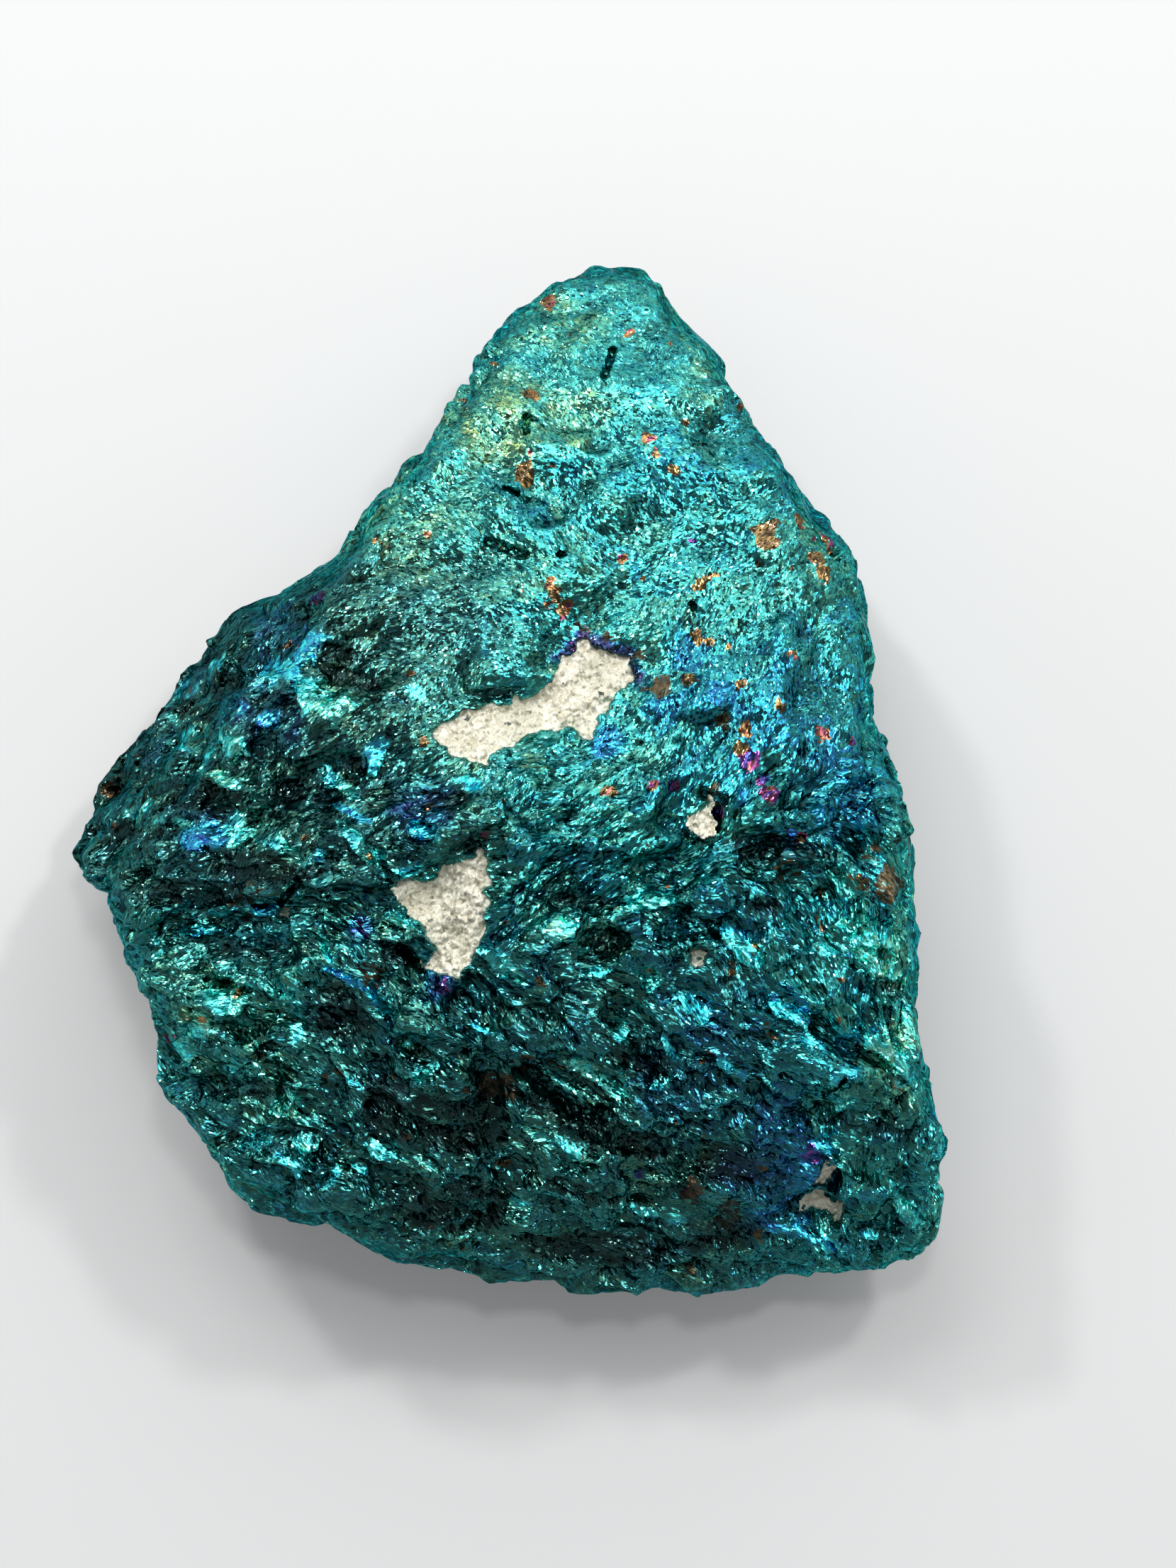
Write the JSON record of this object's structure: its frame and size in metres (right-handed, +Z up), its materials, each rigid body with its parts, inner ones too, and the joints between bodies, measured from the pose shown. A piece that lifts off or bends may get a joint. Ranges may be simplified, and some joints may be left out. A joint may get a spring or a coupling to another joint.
{
  "type": "chalcopyrite specimen",
  "caption": "Rough lump of iridescent teal chalcopyrite with sugary white gangue patches, tapering to a blunt tip and lying on a small flat spot.",
  "frame": {"origin": "on the surface that the stone lies on, under the middle of the stone's box", "axes": "+Y towards the narrow tip, along the stone's length; +Z up, out of its best face; +X to the right, seen from above with the tip pointing away"},
  "size_m": [0.0438, 0.052, 0.0202],
  "materials": {
    "tarnished_ore": "satin",
    "gangue": "matte"
  },
  "bodies": {
    "root": {"chalcopyrite": "tarnished_ore"}
  },
  "joints": []
}
